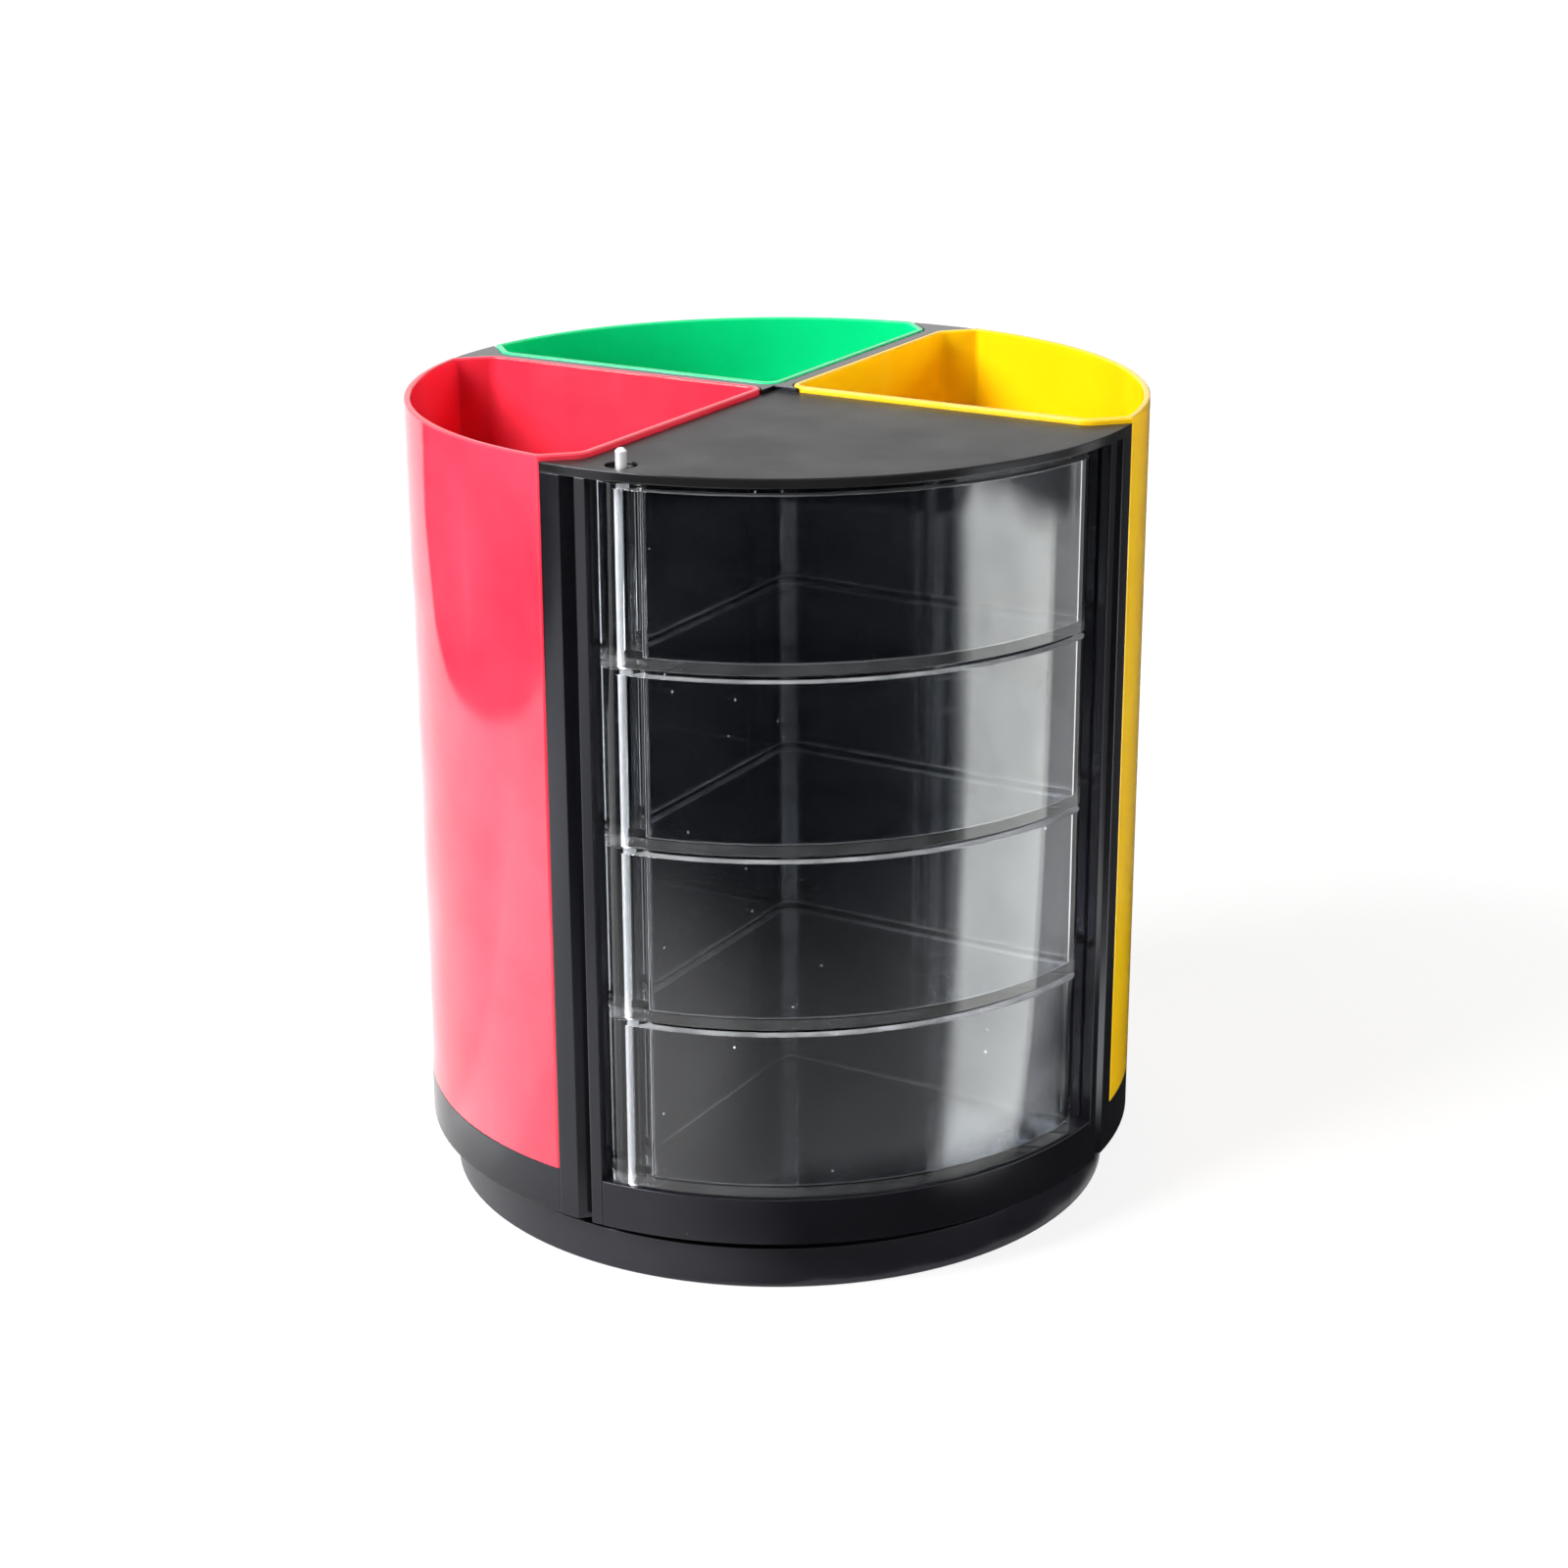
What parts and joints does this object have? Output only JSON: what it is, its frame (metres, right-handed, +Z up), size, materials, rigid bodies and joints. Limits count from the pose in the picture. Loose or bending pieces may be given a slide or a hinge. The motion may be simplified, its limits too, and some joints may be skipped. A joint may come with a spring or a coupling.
{
  "type": "rotating desk organizer",
  "caption": "Round rotating desk organizer on a turntable foot, with coloured lift-out pen cups and a tower of clear swing-out drawers hinged on an upright steel rod.",
  "frame": {"origin": "centre of the foot at the height of the surface that its pads stand on", "axes": "+Z up along the turning axis; the drawer tower lies between +X and -Y, the dividers along X and Y"},
  "size_m": [0.135, 0.135, 0.1522],
  "materials": {
    "foot_black": "satin black moulded plastic",
    "frame_black": "semi-gloss black moulded plastic",
    "plate_black": "finely textured satin black plastic",
    "glide_natural": "natural acetal",
    "pad_rubber": "soft non-slip pad",
    "steel": "bright drawn wire",
    "drawer_clear": "clear crystal polystyrene",
    "cup_red": "glossy moulded plastic",
    "cup_green": "glossy moulded plastic",
    "cup_yellow": "glossy moulded plastic"
  },
  "bodies": {
    "foot": {"foot_disc": "foot_black", "foot_pad_1": "pad_rubber", "foot_pad_2": "pad_rubber", "foot_pad_3": "pad_rubber", "foot_pad_4": "pad_rubber", "glide_ring": "glide_natural"},
    "carousel": {"base_tray": "frame_black", "divider_frame": "frame_black", "top_plate": "plate_black", "pivot_rod": "steel", "spindle_screw": "steel", "spindle_washer": "steel"},
    "drawer_1": {"drawer_1": "drawer_clear"},
    "drawer_2": {"drawer_2": "drawer_clear"},
    "drawer_3": {"drawer_3": "drawer_clear"},
    "drawer_4": {"drawer_4": "drawer_clear"},
    "cup_red": {"cup_red": "cup_red"},
    "cup_green": {"cup_green": "cup_green"},
    "cup_yellow": {"cup_yellow": "cup_yellow"}
  },
  "joints": [
    {"name": "carousel_spin", "type": "hinge", "parent": "foot", "child": "carousel", "pos_m": [0, 0, 0], "axis": [0, 0, 1], "continuous": true},
    {"name": "drawer_1_swing", "type": "hinge", "parent": "carousel", "child": "drawer_1", "pos_m": [0.0063, -0.06248, 0], "axis": [0, 0, -1], "range_deg": [0, 92]},
    {"name": "drawer_2_swing", "type": "hinge", "parent": "carousel", "child": "drawer_2", "pos_m": [0.0063, -0.06248, 0], "axis": [0, 0, -1], "range_deg": [0, 92]},
    {"name": "drawer_3_swing", "type": "hinge", "parent": "carousel", "child": "drawer_3", "pos_m": [0.0063, -0.06248, 0], "axis": [0, 0, -1], "range_deg": [0, 92]},
    {"name": "drawer_4_swing", "type": "hinge", "parent": "carousel", "child": "drawer_4", "pos_m": [0.0063, -0.06248, 0], "axis": [0, 0, -1], "range_deg": [0, 92]},
    {"name": "cup_red_lift", "type": "slide", "parent": "carousel", "child": "cup_red", "axis": [0, 0, 1], "range_m": [0, 0.135]},
    {"name": "cup_green_lift", "type": "slide", "parent": "carousel", "child": "cup_green", "axis": [0, 0, 1], "range_m": [0, 0.135]},
    {"name": "cup_yellow_lift", "type": "slide", "parent": "carousel", "child": "cup_yellow", "axis": [0, 0, 1], "range_m": [0, 0.135]}
  ]
}
